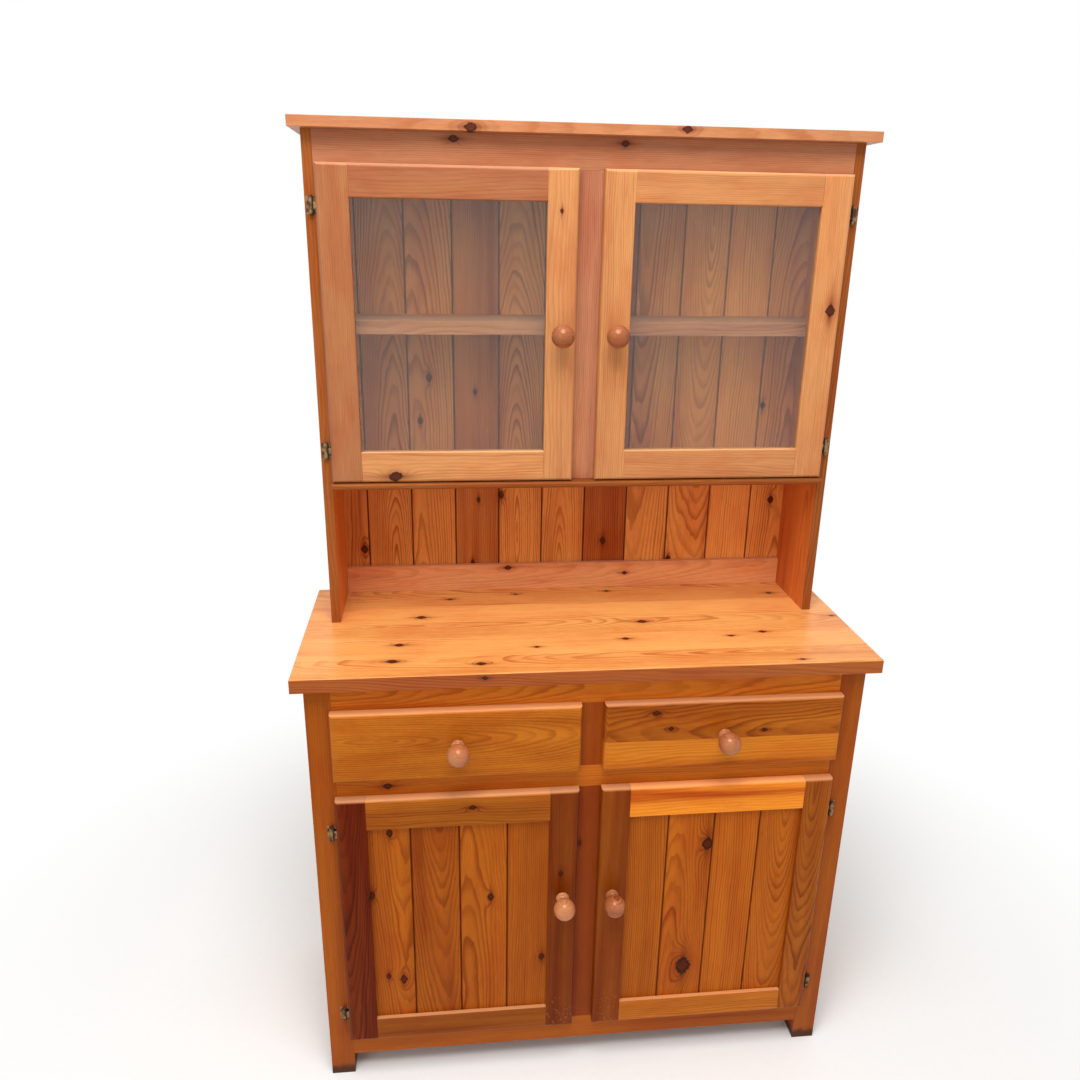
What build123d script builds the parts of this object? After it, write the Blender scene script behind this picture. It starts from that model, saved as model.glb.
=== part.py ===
from build123d import *
import math
import os

os.makedirs("parts", exist_ok=True)

# Glazed kitchen dresser in solid pine: a cupboard base with two drawers, and a
# glazed rack that stands on the worktop. Millimetres, +Z up, the front looks to -Y.
# Depths are worked out from the front face of the base, then moved to the origin,
# which is on the floor at the middle of the dresser's box.

# Base frame
base_width = 1070.0
base_depth = 400.0
post_width = 48.0
frame_thickness = 22.0
leg_clearance = 52.0
bottom_rail_height = 58.0
cupboard_opening_height = 582.0
drawer_rail_height = 48.0
drawer_opening_height = 137.0
top_rail_height = 53.0
centre_stile_width = 50.0
side_rail_inset = 4.0
side_lower_rail_height = 70.0
side_upper_rail_height = 90.0
back_rail_height = 58.0
cupboard_floor_thickness = 15.0

# Worktop
worktop_thickness = 28.0
worktop_side_overhang = 20.0
worktop_front_overhang = 24.0
worktop_back_overhang = 4.0
worktop_edge_radius = 2.5

# Rack above the worktop
rack_width = 1012.0
rack_depth = 182.0
rack_side_thickness = 18.0
recess_height = 286.0
rack_floor_thickness = 12.0
rack_floor_nosing = 25.0
rack_floor_nose_radius = 5.0
rack_opening_height = 568.0
rack_top_rail_height = 57.0
rack_frame_thickness = 20.0
rack_frame_stile_width = 30.0
rack_centre_stile_width = 51.0
housing_depth = 6.0
shelf_thickness = 25.0
shelf_height_in_rack = 277.0
shelf_set_back = 2.0
bearer_width = 20.0
bearer_height = 15.0
upstand_height = 59.0
upstand_thickness = 12.0
rack_back_rail_height = 42.0
rack_back_rail_thickness = 22.0
cornice_thickness = 18.0
cornice_side_overhang = 19.0
cornice_front_overhang = 25.0

# V-jointed matchboards
board_cover = 94.5
board_thickness = 10.0
board_vee = 2.5
board_joint_gap = 0.3
tongue_length = 5.0
tongue_thickness = 3.0
tongue_clearance = 0.25
tongue_set_back = 0.625
rack_first_board = 50.0
side_first_board = 58.0
base_first_board = 63.0
panel_groove_depth = 6.0
panel_clearance = 0.2

# Doors and drawer fronts lie on the frame
front_thickness = 20.0
front_gap = 0.5
front_lap = 3.0
glazed_door_clearance = 1.5
edge_round = 7.0
door_stile_width = 57.0
door_rail_bottom = 56.0
door_rail_top = 65.0
panel_recess = 9.0
panel_thickness = 8.0
glazed_rail_bottom = 60.0
glazed_rail_top = 57.0
sight_edge_round = 3.0
glass_thickness = 3.0
glass_lip = 8.0
glass_cover = 8.0
glass_clearance = 1.0

# Joints in the frames
tenon_length = 24.0
tenon_thickness = 8.0
tenon_shoulder = 8.0
tenon_fit = 0.1

# Turned knobs
knob_radius = 21.5
knob_standoff = 35.0
knob_neck_radius = 8.0
knob_rose_radius = 12.0
knob_rose_thickness = 3.0
knob_spigot_radius = 5.0
knob_spigot_length = 13.0
knob_spigot_fit = 0.1
cupboard_knob_height = 446.0
glazed_knob_height = 1539.0

# Brass hinges
hinge_length = 30.0
hinge_offset = 10.5
knuckle_radius = 4.5
knuckle_gap = 0.3
middle_knuckle = 11.4
leaf_thickness = 1.5
frame_leaf_half_width = 9.0
edge_leaf_width = 11.0
edge_leaf_height = 26.0
edge_leaf_set_back = 1.5
pin_radius = 2.5
pin_running_fit = 0.05
pin_head_radius = 3.6
pin_head_height = 1.6
hinge_screw_head_radius = 1.9
hinge_screw_radius = 1.1
hinge_screw_length = 12.0
hinge_screw_spread = 8.5
hinge_web_thickness = 4.5
hinge_bottom_inset = 60.0
cupboard_hinge_top_inset = 80.0
glazed_hinge_top_inset = 70.0

# Drawers
drawer_side_clearance = 3.0
drawer_floor_clearance = 3.0
drawer_box_height = 118.0
drawer_box_length = 345.0
drawer_board = 12.0
drawer_bottom_thickness = 4.0
drawer_bottom_height = 9.0
drawer_groove_depth = 6.0
drawer_groove_fit = 0.2
runner_gap = 0.3
runner_height = 20.0
outer_runner_width = 25.0
centre_runner_width = 92.0
centre_guide_width = 44.0
centre_guide_height = 22.0
kicker_gap = 1.5
kicker_height = 30.0

# Plates that tie the rack to the worktop at the back
tie_plate_width = 25.0
tie_plate_height = 70.0
tie_plate_thickness = 2.0
tie_plate_spread = 700.0
tie_screw_radius = 2.0
tie_screw_head_radius = 3.8
tie_screw_head_height = 1.2
tie_screw_length = 8.0
tie_screw_rise = 17.5

# Heights worked out from the floor up
bottom_rail_top = leg_clearance + bottom_rail_height
cupboard_top = bottom_rail_top + cupboard_opening_height
drawer_opening_bottom = cupboard_top + drawer_rail_height
drawer_opening_top = drawer_opening_bottom + drawer_opening_height
base_top = drawer_opening_top + top_rail_height
worktop_top = base_top + worktop_thickness
rack_floor_bottom = worktop_top + recess_height
rack_floor_top = rack_floor_bottom + rack_floor_thickness
rack_opening_top = rack_floor_top + rack_opening_height
rack_top = rack_opening_top + rack_top_rail_height

# Plan lines worked out from the front face of the base
half_base = base_width / 2
post_inner = half_base - post_width
worktop_back = base_depth + worktop_back_overhang
rack_front = worktop_back - rack_depth
half_rack = rack_width / 2
rack_inner = half_rack - rack_side_thickness
rack_board_front = worktop_back - board_thickness
rack_frame_back = rack_front + rack_frame_thickness
back_board_front = base_depth - board_thickness
back_rail_front = back_board_front - frame_thickness
side_rail_inner = half_base - side_rail_inset - frame_thickness
knob_projection = knob_standoff + knob_radius
front_limit = -front_gap - front_thickness - knob_projection
back_limit = worktop_back + tie_plate_thickness + tie_screw_head_height
origin_depth = (front_limit + back_limit) / 2

LEFT = -1
RIGHT = 1
SIDES = {"left": LEFT, "right": RIGHT}


def block(x0, x1, y0, y1, z0, z1):
    """A box between two corners, in either order along X."""
    size = (abs(x1 - x0), y1 - y0, z1 - z0)
    return Pos((x0 + x1) / 2, (y0 + y1) / 2, (z0 + z1) / 2) * Box(*size)


def rod(x, y, z, radius, length, axis):
    """A round bar centred on a point, along X, Y or Z."""
    turn = {"x": Rot(0, 90, 0), "y": Rot(90, 0, 0), "z": Rot(0, 0, 0)}[axis]
    return Pos(x, y, z) * turn * Cylinder(radius, length)


def write(name, pieces):
    """Write one node, moved from the front face of the base to the origin."""
    solids = []
    for piece in pieces:
        solids.extend(piece.solids())
    moved = [Pos(0, -origin_depth, 0) * solid for solid in solids]
    shape = moved[0] if len(moved) == 1 else Compound(children=moved)
    export_step(shape, f"parts/{name}.step")


def tenon(x_end, direction, y0, y1, z0, z1, grow=0.0):
    """The tongue on the end of a rail that runs along X, or its mortise when grown."""
    y_mid = (y0 + y1) / 2
    half = tenon_thickness / 2 + grow
    reach = x_end + direction * (tenon_length + grow)
    return block(x_end, reach, y_mid - half, y_mid + half,
                 z0 + tenon_shoulder - grow, z1 - tenon_shoulder + grow)


def rail(half_length, y0, y1, z0, z1):
    """A rail along X, centred, with a tenon on each end."""
    body = block(-half_length, half_length, y0, y1, z0, z1)
    for side in (LEFT, RIGHT):
        body += tenon(side * half_length, side, y0, y1, z0, z1)
    return body


def board_outline(u0, u1, thickness, plain_start, plain_end):
    """Section of a matchboard: groove at the start, tongue at the end, vees on the face."""
    tongue0 = (thickness - tongue_thickness) / 2 + tongue_set_back
    tongue1 = tongue0 + tongue_thickness
    groove0 = tongue0 - tongue_clearance
    groove1 = tongue1 + tongue_clearance
    groove_end = u0 + tongue_length + tongue_clearance
    start = [(u0, thickness), (u0, groove1), (groove_end, groove1), (groove_end, groove0),
             (u0, groove0), (u0, board_vee), (u0 + board_vee, 0)]
    end = [(u1 - board_vee, 0), (u1, board_vee), (u1, tongue0), (u1 + tongue_length, tongue0),
           (u1 + tongue_length, tongue1), (u1, tongue1), (u1, thickness)]
    if plain_start:
        start = [(u0, thickness), (u0, 0)]
    if plain_end:
        end = [(u1, 0), (u1, thickness)]
    return start + end


def matchboards(start, end, first_width, thickness, z0, z1, place):
    """A row of upright matchboards from start to end; place turns (u, v) into (x, y)."""
    edges = [start]
    edge = start + first_width
    while edge < end - tongue_length - board_vee:
        edges.append(edge)
        edge += board_cover
    edges.append(end)
    boards = []
    last = len(edges) - 2
    for i in range(last + 1):
        u1 = edges[i + 1] if i == last else edges[i + 1] - board_joint_gap
        outline = board_outline(edges[i], u1, thickness, i == 0, i == last)
        points = [place(u, v) for u, v in outline]
        face = make_face(Polyline(*[(x, y, z0) for x, y in points], close=True))
        boards.append(extrude(face, amount=z1 - z0, dir=(0, 0, 1)))
    return boards


def rounded_front(x0, x1, y_face, z0, z1):
    """A lay-on front, its outer front edges rounded over."""
    blank = block(x0, x1, y_face, y_face + front_thickness, z0, z1)
    return fillet(blank.faces().sort_by(Axis.Y)[0].edges(), edge_round)


def knob_at(x, y_face, z):
    """A turned knob, its spigot glued into the front behind it."""
    neck_end = -knob_standoff + math.sqrt(knob_radius ** 2 - knob_neck_radius ** 2)
    tip = -knob_projection
    cove = -knob_rose_thickness - (knob_rose_radius - knob_neck_radius)
    side = Polyline((0, knob_spigot_length), (knob_spigot_radius, knob_spigot_length),
                    (knob_spigot_radius, 0), (knob_rose_radius, 0),
                    (knob_rose_radius, -knob_rose_thickness), (knob_neck_radius, cove),
                    (knob_neck_radius, neck_end))
    ball = ThreePointArc((knob_neck_radius, neck_end), (knob_radius, -knob_standoff), (0, tip))
    core = Line((0, tip), (0, knob_spigot_length))
    return Pos(x, y_face, z) * revolve(make_face([side, ball, core]), Axis.Y, 360)


def knob_hole(x, y_face, z):
    """The blind hole for a knob's spigot."""
    depth = knob_spigot_length + knob_spigot_fit
    radius = knob_spigot_radius + knob_spigot_fit
    return rod(x, y_face + depth / 2, z, radius, depth, "y")


def hinge_at(door_edge, side, face, z):
    """One hinge beside a lay-on door: its pieces and what is cut out for them.

    door_edge is the door's outer edge in X, side is LEFT or RIGHT, face is the
    depth of the frame's front face and z is the middle of the hinge.
    """
    axis_x = door_edge + side * hinge_offset
    axis_y = face - knuckle_radius - knuckle_gap
    half = hinge_length / 2
    half_middle = middle_knuckle / 2
    bore = rod(axis_x, axis_y, z, pin_radius + pin_running_fit, hinge_length, "z")

    leaf_x = (axis_x - frame_leaf_half_width, axis_x + frame_leaf_half_width)
    frame_leaf = block(*leaf_x, face, face + leaf_thickness, z - half, z + half)
    end_length = half - half_middle - knuckle_gap
    for end in (-1, 1):
        mid = z + end * (half - end_length / 2)
        low, high = mid - end_length / 2, mid + end_length / 2
        frame_leaf += rod(axis_x, axis_y, mid, knuckle_radius, end_length, "z")
        frame_leaf += block(axis_x - hinge_web_thickness / 2, axis_x + hinge_web_thickness / 2,
                            axis_y, face, low, high)
    frame_leaf -= bore

    plate_x = (door_edge, door_edge - side * leaf_thickness)
    plate_y1 = face - front_gap - edge_leaf_set_back
    plate = block(*plate_x, plate_y1 - edge_leaf_width, plate_y1,
                  z - edge_leaf_height / 2, z + edge_leaf_height / 2)
    arm = block(axis_x, door_edge, axis_y - leaf_thickness / 2, axis_y + leaf_thickness / 2,
                z - half_middle, z + half_middle)
    knuckle = rod(axis_x, axis_y, z, knuckle_radius, middle_knuckle, "z")
    door_leaf = plate + arm + knuckle - bore

    pin = rod(axis_x, axis_y, z, pin_radius, hinge_length, "z")
    for end in (-1, 1):
        head_z = z + end * (half + pin_head_height / 2)
        pin += rod(axis_x, axis_y, head_z, pin_head_radius, pin_head_height, "z")

    frame_screws = []
    door_screws = []
    screw_x = axis_x + side * (knuckle_radius + frame_leaf_half_width) / 2
    screw_y = plate_y1 - edge_leaf_width / 2
    reach = (leaf_thickness + hinge_screw_length) / 2
    for end in (-1, 1):
        screw_z = z + end * hinge_screw_spread
        shank = rod(screw_x, face + reach, screw_z, hinge_screw_radius, 2 * reach, "y")
        head = rod(screw_x, face + leaf_thickness / 2, screw_z,
                   hinge_screw_head_radius, leaf_thickness, "y")
        frame_screws.append(shank + head)
        shank = rod(door_edge - side * reach, screw_y, screw_z, hinge_screw_radius, 2 * reach, "x")
        head = rod(door_edge - side * leaf_thickness / 2, screw_y, screw_z,
                   hinge_screw_head_radius, leaf_thickness, "x")
        door_screws.append(shank + head)

    for screw in frame_screws:
        frame_leaf -= screw
    for screw in door_screws:
        door_leaf -= screw
    frame_cuts = [block(*leaf_x, face, face + leaf_thickness, z - half, z + half)] + frame_screws
    return {"frame_leaf": frame_leaf, "door_leaf": door_leaf, "pin": pin,
            "frame_screws": frame_screws, "door_screws": door_screws,
            "frame_cuts": frame_cuts, "door_cuts": [plate] + door_screws}


def cut_all(piece, cuts):
    """Take each cut out of a piece."""
    for cut in cuts:
        piece -= cut
    return piece


# Places of the fronts
lower_door_inner = centre_stile_width / 2 - front_lap
lower_door_outer = post_inner + front_lap
lower_door_bottom = bottom_rail_top - front_lap
lower_door_top = cupboard_top + front_lap
drawer_front_bottom = drawer_opening_bottom - front_lap
drawer_front_top = drawer_opening_top + front_lap
glazed_door_inner = rack_centre_stile_width / 2 - front_lap
glazed_door_outer = rack_inner - front_lap - front_gap
glazed_door_bottom = rack_floor_top + glazed_door_clearance
glazed_door_top = rack_opening_top + front_lap
base_face = 0.0
base_front = base_face - front_gap - front_thickness
rack_door_front = rack_front - front_gap - front_thickness

hinges = {}
for name, side in SIDES.items():
    hinges[f"cupboard_door_{name}"] = [
        hinge_at(side * lower_door_outer, side, base_face, z)
        for z in (lower_door_bottom + hinge_bottom_inset,
                  lower_door_top - cupboard_hinge_top_inset)]
    hinges[f"glazed_door_{name}"] = [
        hinge_at(side * glazed_door_outer, side, rack_front, z)
        for z in (glazed_door_bottom + hinge_bottom_inset,
                  glazed_door_top - glazed_hinge_top_inset)]
all_hinges = [hinge for pair in hinges.values() for hinge in pair]
base_frame_cuts = [cut for name in SIDES for hinge in hinges[f"cupboard_door_{name}"]
                   for cut in hinge["frame_cuts"]]
rack_frame_cuts = [cut for name in SIDES for hinge in hinges[f"glazed_door_{name}"]
                   for cut in hinge["frame_cuts"]]


# Base frame: square posts that run down as the legs, with rails tenoned between
front_rails = {
    "front_bottom_rail": (leg_clearance, bottom_rail_top),
    "drawer_rail": (cupboard_top, drawer_opening_bottom),
    "front_top_rail": (drawer_opening_top, base_top),
}
back_rails = [(leg_clearance, leg_clearance + back_rail_height),
              (base_top - back_rail_height, base_top)]
side_rails = [(leg_clearance, leg_clearance + side_lower_rail_height),
              (base_top - side_upper_rail_height, base_top)]
side_board_top = side_rails[1][0] + panel_groove_depth
side_board_bottom = side_rails[0][1] - panel_groove_depth


def side_rail_tenon(side, y_end, direction, z0, z1, grow=0.0):
    """Tongue on a side rail, or its mortise when grown."""
    x_mid = side * (side_rail_inner + frame_thickness / 2)
    half = tenon_thickness / 2 + grow
    reach = y_end + direction * (tenon_length / 2 + grow)
    return block(x_mid - half, x_mid + half, min(y_end, reach), max(y_end, reach),
                 z0 + tenon_shoulder - grow, z1 - tenon_shoulder + grow)


def post(side, front):
    """One corner post with its mortises."""
    y0 = 0.0 if front else base_depth - post_width
    shape = block(side * post_inner, side * half_base, y0, y0 + post_width, 0, base_top)
    x_end = side * post_inner
    if front:
        spans = [(0, frame_thickness, z0, z1) for z0, z1 in front_rails.values()]
    else:
        spans = [(back_rail_front, back_board_front, z0, z1) for z0, z1 in back_rails]
    for y_a, y_b, z0, z1 in spans:
        shape -= tenon(x_end, side, y_a, y_b, z0, z1, tenon_fit)
    y_end = post_width if front else base_depth - post_width
    for z0, z1 in side_rails:
        shape -= side_rail_tenon(side, y_end, -1 if front else 1, z0, z1, tenon_fit)
    return shape


for name, side in SIDES.items():
    write(f"front_post_{name}", [cut_all(post(side, True), base_frame_cuts)])
write("back_posts", [post(side, False) for side in (LEFT, RIGHT)])

for name, (z0, z1) in front_rails.items():
    write(name, [rail(post_inner, 0, frame_thickness, z0, z1)])
write("centre_stiles", [
    block(-centre_stile_width / 2, centre_stile_width / 2, 0, frame_thickness,
          bottom_rail_top, cupboard_top),
    block(-centre_stile_width / 2, centre_stile_width / 2, 0, frame_thickness,
          drawer_opening_bottom, drawer_opening_top)])

# Matchboarded sides: the boards stand in grooves in the side rails
board_outer = half_base - side_rail_inset - (frame_thickness - board_thickness) / 2
side_boards = []
base_rails = []
for side in (LEFT, RIGHT):
    side_boards += matchboards(
        post_width, base_depth - post_width, side_first_board, board_thickness,
        side_board_bottom, side_board_top,
        lambda u, v, s=side: (s * (board_outer - v), u))
    for z0, z1 in side_rails:
        piece = block(side * side_rail_inner, side * (side_rail_inner + frame_thickness),
                      post_width, base_depth - post_width, z0, z1)
        piece += side_rail_tenon(side, post_width, -1, z0, z1)
        piece += side_rail_tenon(side, base_depth - post_width, 1, z0, z1)
        piece -= block(side * (board_outer - board_thickness - panel_clearance),
                       side * (board_outer + panel_clearance),
                       post_width, base_depth - post_width,
                       side_board_bottom, side_board_top)
        base_rails.append(piece)
for z0, z1 in back_rails:
    base_rails.append(rail(post_inner, back_rail_front, back_board_front, z0, z1))
write("base_rails", base_rails)
write("side_boards", side_boards)
write("base_back_boards", matchboards(
    -post_inner, post_inner, base_first_board, board_thickness, leg_clearance, base_top,
    lambda u, v: (u, back_board_front + v)))

cupboard_floor = block(-side_rail_inner, side_rail_inner, frame_thickness, back_rail_front,
                       bottom_rail_top - cupboard_floor_thickness, bottom_rail_top)
for side in (LEFT, RIGHT):
    for y0 in (0.0, base_depth - post_width):
        cupboard_floor -= block(side * post_inner, side * half_base, y0, y0 + post_width,
                                0, base_top)
write("cupboard_floor", [cupboard_floor])

# Runners carry the drawers, kickers above stop them tipping
drawer_box_bottom = drawer_opening_bottom + drawer_floor_clearance
drawer_box_top = drawer_box_bottom + drawer_box_height
runner_top = drawer_box_bottom - runner_gap
kicker_bottom = drawer_box_top + kicker_gap
drawer_box_inner = centre_stile_width / 2 + drawer_side_clearance
drawer_box_outer = post_inner - drawer_side_clearance
runners = []
for side in (LEFT, RIGHT):
    x0, x1 = side * (post_inner - outer_runner_width), side * post_inner
    runners.append(block(x0, x1, frame_thickness, back_rail_front,
                         runner_top - runner_height, runner_top))
    runners.append(block(x0, x1, frame_thickness, back_rail_front,
                         kicker_bottom, kicker_bottom + kicker_height))
half_runner = centre_runner_width / 2
half_guide = centre_guide_width / 2
centre_runner = block(-half_runner, half_runner, frame_thickness, back_rail_front,
                      runner_top - runner_height, runner_top)
centre_runner += block(-half_guide, half_guide, frame_thickness, back_rail_front,
                       runner_top, runner_top + centre_guide_height)
runners.append(centre_runner)
runners.append(block(-half_runner, half_runner, frame_thickness, back_rail_front,
                     kicker_bottom, kicker_bottom + kicker_height))
back_runner_rail = block(-post_inner, post_inner, back_rail_front, back_board_front,
                         runner_top - runner_height, runner_top)
runners.append(back_runner_rail)
write("drawer_runners", runners)

# Plates that tie the rack to the worktop, screwed on at the back
tie_plates = []
tie_screws = []
for side in (LEFT, RIGHT):
    x = side * tie_plate_spread / 2
    plate = block(x - tie_plate_width / 2, x + tie_plate_width / 2,
                  worktop_back, worktop_back + tie_plate_thickness,
                  base_top, base_top + tie_plate_height)
    for z in (base_top + worktop_thickness / 2, worktop_top + tie_screw_rise):
        head_y = worktop_back + tie_plate_thickness + tie_screw_head_height / 2
        screw = rod(x, head_y, z, tie_screw_head_radius, tie_screw_head_height, "y")
        length = tie_screw_length + tie_plate_thickness
        screw += rod(x, worktop_back + tie_plate_thickness - length / 2, z,
                     tie_screw_radius, length, "y")
        plate -= screw
        tie_screws.append(screw)
    tie_plates.append(plate)
write("rack_tie_plates", tie_plates)

# Worktop of edge-glued boards
worktop = block(-half_base - worktop_side_overhang, half_base + worktop_side_overhang,
                -worktop_front_overhang, worktop_back, base_top, worktop_top)
eased = worktop.faces().sort_by(Axis.Z)[-1].edges().sort_by(Axis.Y)[:-1]
write("worktop", [cut_all(fillet(eased, worktop_edge_radius), tie_screws)])

# Rack sides stand on the worktop and take the floor in stopped housings
rebate_width = rack_side_thickness / 2
for name, side in SIDES.items():
    shape = block(side * rack_inner, side * half_rack, rack_front, worktop_back,
                  worktop_top, rack_top)
    shape -= block(side * rack_inner, side * (rack_inner + rebate_width),
                   rack_board_front, worktop_back, worktop_top, rack_top)
    shape -= block(side * rack_inner, side * (rack_inner + housing_depth),
                   rack_frame_back, rack_board_front, rack_floor_bottom, rack_floor_top)
    write(f"rack_side_{name}", [cut_all(shape, rack_frame_cuts)])

rack_floor = block(-rack_inner, rack_inner, rack_front - rack_floor_nosing, rack_board_front,
                   rack_floor_bottom, rack_floor_top)
nose = rack_floor.faces().sort_by(Axis.Y)[0].edges().filter_by(Axis.X)
rack_floor = fillet(nose, rack_floor_nose_radius)
rack_floor += block(-rack_inner - housing_depth, rack_inner + housing_depth,
                    rack_frame_back, rack_board_front, rack_floor_bottom, rack_floor_top)
write("rack_floor", [rack_floor])

face_frame = [block(-rack_inner, rack_inner, rack_front, rack_frame_back,
                    rack_opening_top, rack_top),
              block(-rack_centre_stile_width / 2, rack_centre_stile_width / 2,
                    rack_front, rack_frame_back, rack_floor_top, rack_opening_top)]
for side in (LEFT, RIGHT):
    stile = block(side * (rack_inner - rack_frame_stile_width), side * rack_inner,
                  rack_front, rack_frame_back, rack_floor_top, rack_opening_top)
    face_frame.append(cut_all(stile, rack_frame_cuts))
write("rack_face_frame", face_frame)

shelf_bottom = rack_floor_top + shelf_height_in_rack
shelf_front = rack_frame_back + shelf_set_back
write("rack_shelf", [block(-rack_inner, rack_inner, shelf_front, rack_board_front,
                           shelf_bottom, shelf_bottom + shelf_thickness)])
write("shelf_bearers", [block(side * (rack_inner - bearer_width), side * rack_inner,
                              shelf_front, rack_board_front,
                              shelf_bottom - bearer_height, shelf_bottom)
                        for side in (LEFT, RIGHT)])
rack_back_reach = rack_inner + rebate_width
rack_boards = matchboards(
    -rack_back_reach, rack_back_reach, rack_first_board + rebate_width, board_thickness,
    worktop_top, rack_top, lambda u, v: (u, rack_board_front + v))
write("rack_back_boards", [cut_all(board, tie_screws) for board in rack_boards])
write("rack_back_rails", [
    block(-rack_inner, rack_inner, rack_board_front - upstand_thickness, rack_board_front,
          worktop_top, worktop_top + upstand_height),
    block(-rack_inner, rack_inner, rack_board_front - rack_back_rail_thickness,
          rack_board_front, rack_top - rack_back_rail_height, rack_top)])
cornice = block(-half_rack - cornice_side_overhang, half_rack + cornice_side_overhang,
                rack_front - cornice_front_overhang, worktop_back,
                rack_top, rack_top + cornice_thickness)
write("cornice", [cornice])

# Brass hinges and every screw in the frame
write("hinge_frame_leaves", [hinge["frame_leaf"] for hinge in all_hinges])
write("hinge_pins", [hinge["pin"] for hinge in all_hinges])
write("frame_screws", tie_screws + [screw for hinge in all_hinges
                                   for screw in hinge["frame_screws"]])


def door_frame(x0, x1, y_face, z0, z1, rail_bottom, rail_top, sight_round):
    """Stiles, rails and the opening of a framed door between x0 and x1."""
    frame = rounded_front(x0, x1, y_face, z0, z1)
    opening = (x0 + door_stile_width, x1 - door_stile_width, z0 + rail_bottom, z1 - rail_top)
    ox0, ox1, oz0, oz1 = opening
    y_back = y_face + front_thickness
    frame -= block(ox0, ox1, y_face, y_back, oz0, oz1)
    if sight_round:
        sight = [edge for wire in frame.faces().sort_by(Axis.Y)[0].inner_wires()
                 for edge in wire.edges()]
        frame = fillet(sight, sight_round)
    stiles = [frame & block(x0, ox0, y_face, y_back, z0, z1),
              frame & block(ox1, x1, y_face, y_back, z0, z1)]
    rails = []
    for low, high in ((z0, oz0), (oz1, z1)):
        piece = frame & block(ox0, ox1, y_face, y_back, low, high)
        for x_end, direction in ((ox0, -1), (ox1, 1)):
            piece += tenon(x_end, direction, y_face, y_back, low, high)
            mortise = tenon(x_end, direction, y_face, y_back, low, high, tenon_fit)
            stiles = [stile - mortise for stile in stiles]
        rails.append(piece)
    return stiles, rails, opening


def panel_boards(opening, y_front):
    """Matchboards of a door panel, centred, with part boards at both sides."""
    ox0, ox1, oz0, oz1 = opening
    reach = panel_groove_depth - front_gap
    count = max(2, round((ox1 - ox0) / board_cover))
    first = ((ox1 - ox0) - (count - 2) * board_cover) / 2 + reach
    return matchboards(ox0 - reach, ox1 + reach, first, panel_thickness,
                       oz0 - reach, oz1 + reach, lambda u, v: (u, y_front + v))


def cupboard_door(name, side):
    """A framed door with a matchboarded panel in grooves."""
    node = f"cupboard_door_{name}"
    x0, x1 = sorted((side * lower_door_inner, side * lower_door_outer))
    stiles, rails, opening = door_frame(x0, x1, base_front, lower_door_bottom, lower_door_top,
                                        door_rail_bottom, door_rail_top, 0)
    ox0, ox1, oz0, oz1 = opening
    panel_front = base_front + panel_recess
    groove = block(ox0 - panel_groove_depth, ox1 + panel_groove_depth,
                   panel_front - panel_clearance, panel_front + panel_thickness + panel_clearance,
                   oz0 - panel_groove_depth, oz1 + panel_groove_depth)
    knob_x = side * (lower_door_inner + door_stile_width / 2)
    cuts = [groove, knob_hole(knob_x, base_front, cupboard_knob_height)]
    cuts += [cut for hinge in hinges[node] for cut in hinge["door_cuts"]]
    write(f"{node}_stiles", [cut_all(stile, cuts) for stile in stiles])
    write(f"{node}_rails", [rail_piece - groove for rail_piece in rails])
    write(f"{node}_boards", panel_boards(opening, panel_front))
    write(f"{node}_knob", [knob_at(knob_x, base_front, cupboard_knob_height)])
    write_door_hinges(node)


def glazed_door(name, side):
    """A framed door with one pane in a rebate, held by beads."""
    node = f"glazed_door_{name}"
    y_face = rack_door_front
    y_back = y_face + front_thickness
    x0, x1 = sorted((side * glazed_door_inner, side * glazed_door_outer))
    stiles, rails, opening = door_frame(x0, x1, y_face, glazed_door_bottom, glazed_door_top,
                                        glazed_rail_bottom, glazed_rail_top, sight_edge_round)
    ox0, ox1, oz0, oz1 = opening
    glass_front = y_face + glass_lip
    glass_back = glass_front + glass_thickness
    rebate = block(ox0 - glass_cover, ox1 + glass_cover, glass_front, y_back,
                   oz0 - glass_cover, oz1 + glass_cover)
    knob_x = side * (glazed_door_inner + door_stile_width / 2)
    cuts = [rebate, knob_hole(knob_x, y_face, glazed_knob_height)]
    cuts += [cut for hinge in hinges[node] for cut in hinge["door_cuts"]]
    write(f"{node}_stiles", [cut_all(stile, cuts) for stile in stiles])
    write(f"{node}_rails", [rail_piece - rebate for rail_piece in rails])
    hold = glass_cover - glass_clearance
    write(f"{node}_glass", [block(ox0 - hold, ox1 + hold, glass_front, glass_back,
                                  oz0 - hold, oz1 + hold)])
    write(f"{node}_beads", [
        block(ox0 - glass_cover, ox1 + glass_cover, glass_back, y_back, oz0 - glass_cover, oz0),
        block(ox0 - glass_cover, ox1 + glass_cover, glass_back, y_back, oz1, oz1 + glass_cover),
        block(ox0 - glass_cover, ox0, glass_back, y_back, oz0, oz1),
        block(ox1, ox1 + glass_cover, glass_back, y_back, oz0, oz1)])
    write(f"{node}_knob", [knob_at(knob_x, y_face, glazed_knob_height)])
    write_door_hinges(node)


def write_door_hinges(node):
    """The leaves on a door's outer edge, with their screws."""
    write(f"{node}_hinge_leaves", [hinge["door_leaf"] for hinge in hinges[node]])
    write(f"{node}_hinge_screws", [screw for hinge in hinges[node]
                                   for screw in hinge["door_screws"]])


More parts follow.
